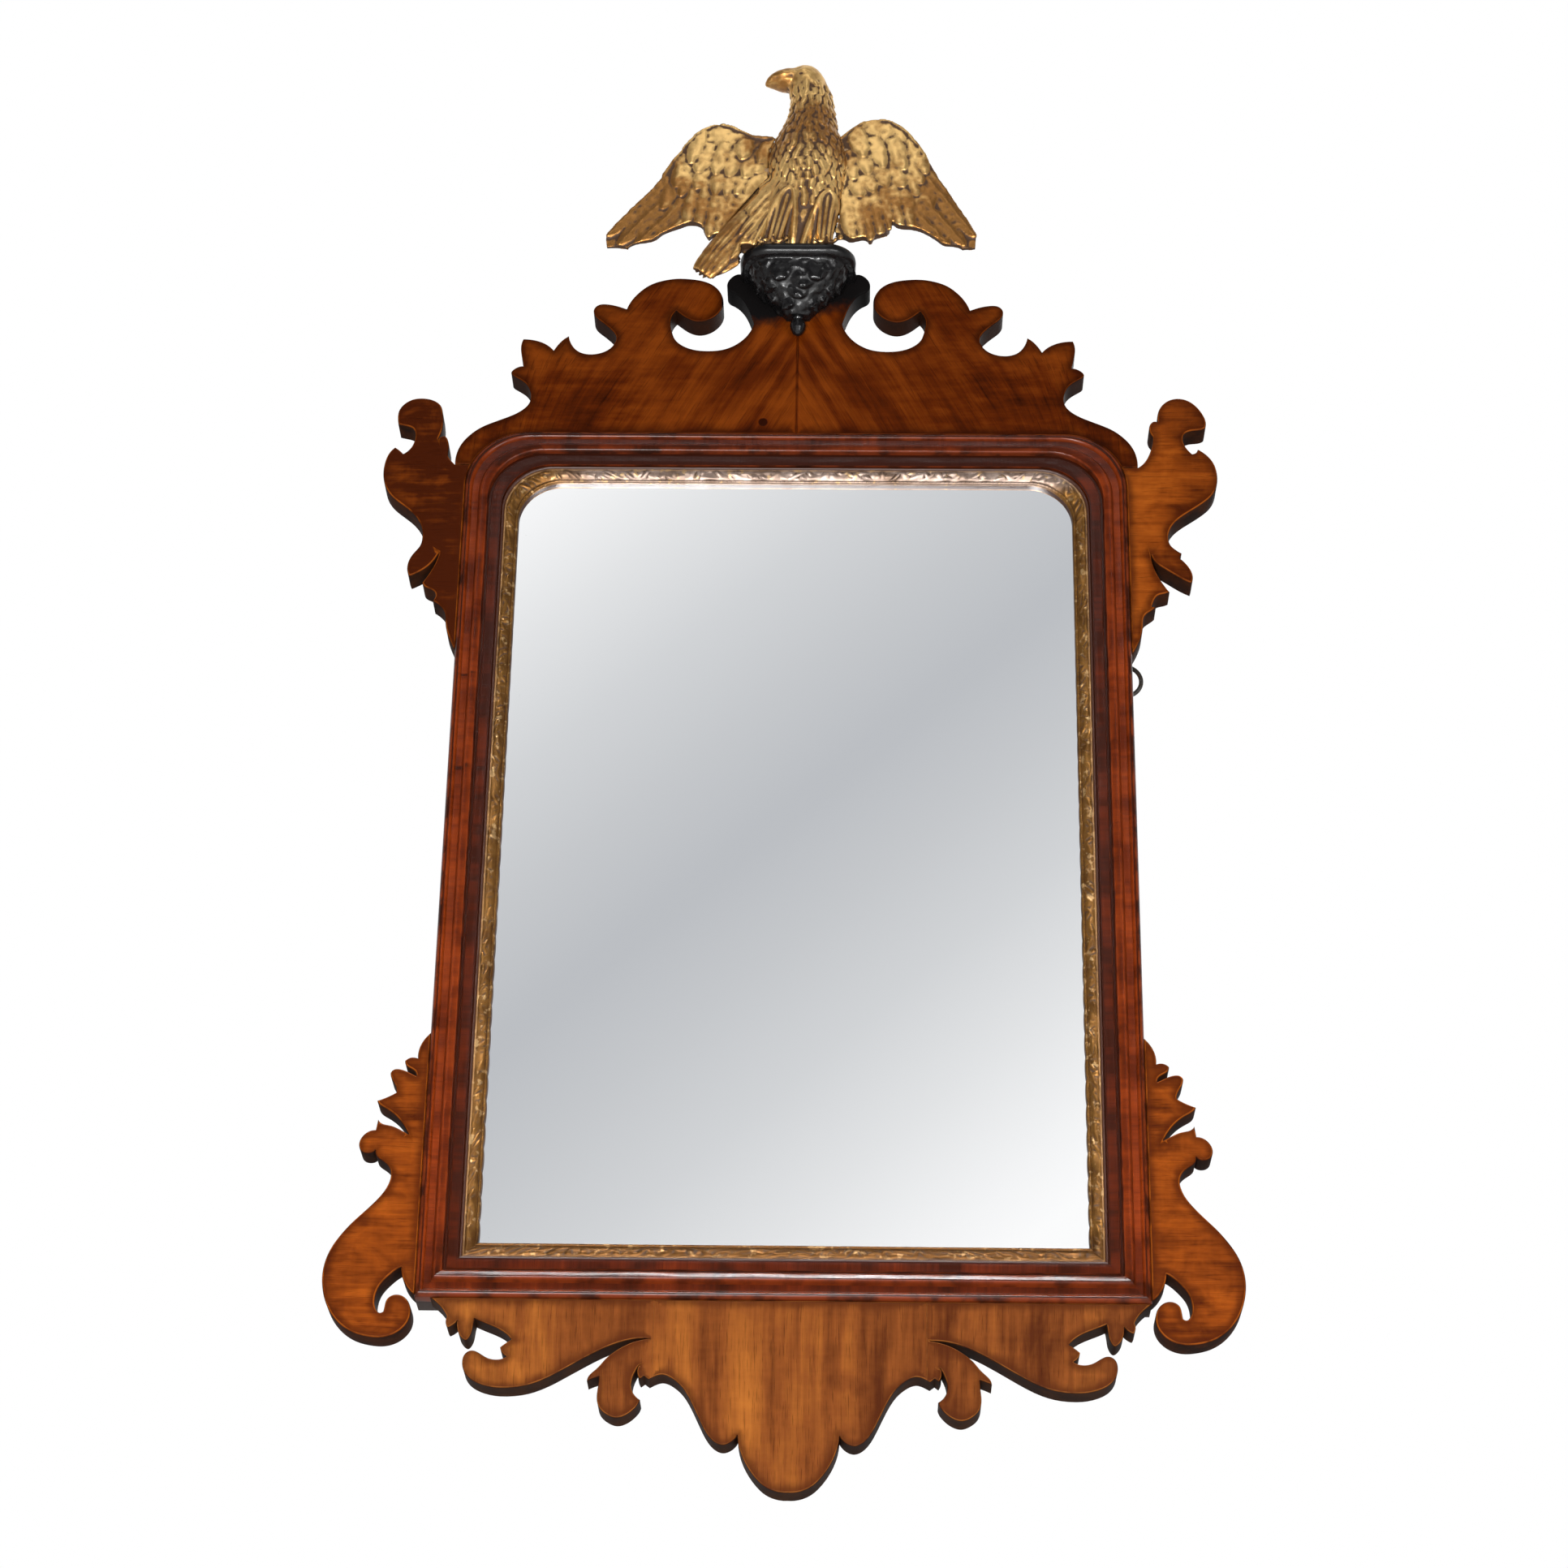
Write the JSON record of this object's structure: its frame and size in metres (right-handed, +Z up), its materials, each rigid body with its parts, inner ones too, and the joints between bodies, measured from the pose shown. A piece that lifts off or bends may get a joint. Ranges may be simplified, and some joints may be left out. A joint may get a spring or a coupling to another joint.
{
  "type": "wall mirror",
  "caption": "Upright wall mirror in a moulded frame with scrolled fretwork crest, ears and apron, a gilded slip and a carved eagle on a bracket.",
  "frame": {"origin": "centre of the back boards' rear face, in the plane of the wall", "axes": "+X to the viewer's right, +Y into the wall, +Z up; the front faces -Y"},
  "size_m": [0.5376, 0.0768, 0.9756],
  "materials": {
    "pine": "raw",
    "mahogany_moulding": "polished",
    "gilt_slip": "worn gilding",
    "mirror": "silvered",
    "iron": "dark",
    "steel": "dull",
    "mahogany": "waxed",
    "crest_veneer": "waxed",
    "apron_veneer": "waxed",
    "ebonised": "gloss",
    "gilt": "worn gilding"
  },
  "bodies": {
    "mirror": {"core_left_stile": "pine", "core_right_stile": "pine", "core_top_rail": "pine", "core_bottom_rail": "pine", "glass_wedges": "pine", "backboard_top": "pine", "backboard_middle": "pine", "backboard_bottom": "pine", "crest_batten": "pine", "crest_blocks": "pine", "apron_blocks": "pine", "ear_blocks_left": "pine", "ear_blocks_right": "pine", "eagle_dowels": "pine", "moulding_left": "mahogany_moulding", "moulding_right": "mahogany_moulding", "moulding_top": "mahogany_moulding", "moulding_bottom": "mahogany_moulding", "moulding_corner_left": "mahogany_moulding", "moulding_corner_right": "mahogany_moulding", "slip_left": "gilt_slip", "slip_right": "gilt_slip", "slip_top": "gilt_slip", "slip_bottom": "gilt_slip", "slip_corner_left": "gilt_slip", "slip_corner_right": "gilt_slip", "mirror_plate": "mirror", "backboard_nails": "iron", "screw_eye_left": "iron", "screw_eye_right": "iron", "bracket_screws": "steel", "crest_panel": "mahogany", "upper_ear_left": "mahogany", "upper_ear_right": "mahogany", "lower_ear_left": "mahogany", "lower_ear_right": "mahogany", "apron_panel": "mahogany", "crest_veneer_left": "crest_veneer", "crest_veneer_right": "crest_veneer", "apron_veneer_left": "apron_veneer", "apron_veneer_centre": "apron_veneer", "apron_veneer_right": "apron_veneer", "eagle_bracket": "ebonised", "bracket_drop": "ebonised", "eagle_body": "gilt", "eagle_wing_left": "gilt", "eagle_wing_right": "gilt"},
    "left_ring": {"ring_left": "iron"},
    "right_ring": {"ring_right": "iron"}
  },
  "joints": [
    {"name": "left_ring_swing", "type": "hinge", "parent": "mirror", "child": "left_ring", "pos_m": [-0.204, -0.0052, 0.139], "axis": [1, 0, 0], "range_deg": [-8, 180]},
    {"name": "right_ring_swing", "type": "hinge", "parent": "mirror", "child": "right_ring", "pos_m": [0.2095, -0.0052, 0.139], "axis": [1, 0, 0], "range_deg": [-8, 180]}
  ]
}
